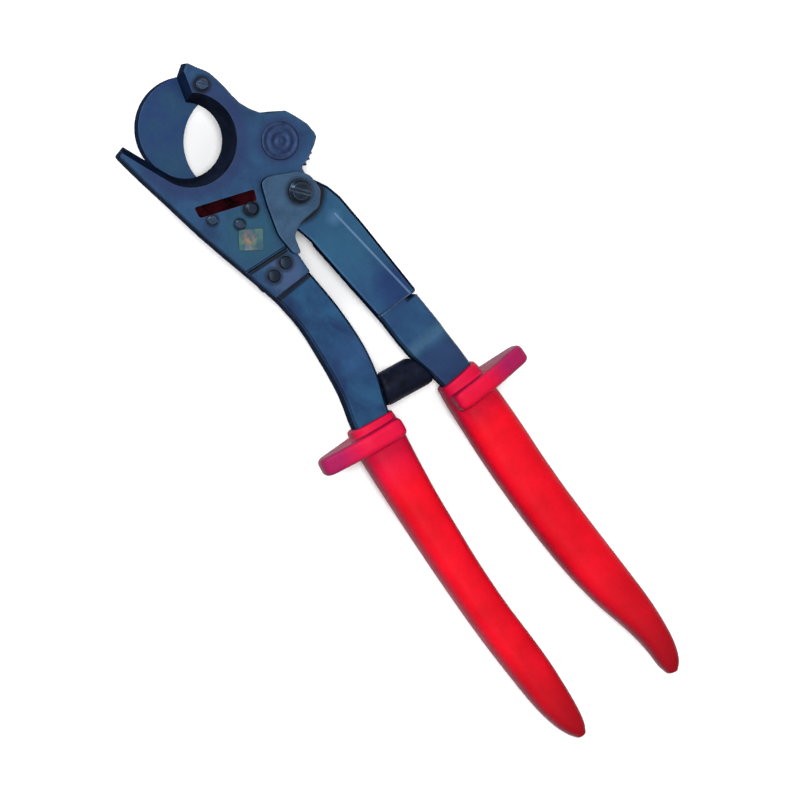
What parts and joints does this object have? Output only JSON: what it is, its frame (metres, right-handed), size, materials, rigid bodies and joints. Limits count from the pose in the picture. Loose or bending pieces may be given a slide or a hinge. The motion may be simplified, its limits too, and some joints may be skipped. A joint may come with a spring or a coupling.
{
  "type": "ratcheting cable cutter",
  "caption": "Two-handed ratcheting cable cutter: round hook jaw with a sickle blade that closes tooth by tooth, dark oxide steel arms, red moulded grips with hand guards, rubber bumper.",
  "frame": {"origin": "middle of the footprint, on the surface the tool lies on", "axes": "+X from the grips to the jaw, +Y towards the fixed handle, +Z out of the front face"},
  "size_m": [0.271, 0.081, 0.0307],
  "materials": {
    "jaw_steel": "dark blue-grey oxide finish, forged",
    "blade_steel": "ground and blued",
    "arm_steel": "blue-black oxide finish, lightly brushed",
    "plate_steel": "grey oxide finish, stamped",
    "pin_steel": "dark turned steel",
    "spring_steel": "bright spring wire",
    "bronze": "plain bearing bronze",
    "red_vinyl": "moulded red vinyl, satin",
    "black_rubber": "black moulded rubber",
    "label_film": "printed film, no lettering"
  },
  "bodies": {
    "cutter_body": {"fixed_blade": "jaw_steel", "main_pivot_bolt": "pin_steel", "main_pivot_nut": "pin_steel", "blade_thrust_washer": "pin_steel", "front_cheek_plate": "plate_steel", "rear_side_plate": "plate_steel", "fixed_arm": "arm_steel", "handle_pivot_screw_front": "pin_steel", "handle_pivot_screw_rear": "pin_steel", "blade_adjusting_screw": "pin_steel", "body_cover_screw_1": "pin_steel", "body_cover_screw_2": "pin_steel", "holding_pawl_pin": "pin_steel", "holding_pawl_pin_clip": "spring_steel", "holding_pawl_spring": "spring_steel", "body_rivet_1": "pin_steel", "body_rivet_2": "pin_steel", "rating_label": "label_film", "bumper": "black_rubber", "bumper_stud": "pin_steel", "fixed_grip": "red_vinyl"},
    "cutting_blade": {"moving_blade": "blade_steel", "blade_pivot_bush": "bronze"},
    "moving_handle": {"moving_arm": "arm_steel", "moving_arm_channel": "arm_steel", "moving_grip": "red_vinyl", "drive_pawl_pin": "pin_steel", "drive_pawl_spring": "spring_steel"},
    "drive_pawl": {"drive_pawl": "pin_steel"},
    "holding_pawl": {"holding_pawl": "pin_steel", "release_knob": "pin_steel"}
  },
  "joints": [
    {"name": "blade_turn", "type": "hinge", "parent": "cutter_body", "child": "cutting_blade", "pos_m": [0.095, -0.01519, 0.0135], "axis": [0, 0, 1], "range_deg": [-54, 54]},
    {"name": "handle_swing", "type": "hinge", "parent": "cutter_body", "child": "moving_handle", "pos_m": [0.0778, -0.00928, 0.0135], "axis": [0, 0, 1], "range_deg": [0, 32]},
    {"name": "drive_pawl_tilt", "type": "hinge", "parent": "moving_handle", "child": "drive_pawl", "pos_m": [0.0763, -0.00138, 0.0149], "axis": [0, 0, 1], "range_deg": [-12, 0], "stiffness_Nm_per_rad": 0.05},
    {"name": "holding_pawl_tilt", "type": "hinge", "parent": "cutter_body", "child": "holding_pawl", "pos_m": [0.0833, 0.00711, 0.012], "axis": [0, 0, 1], "range_deg": [-12, 0], "stiffness_Nm_per_rad": 0.05}
  ]
}
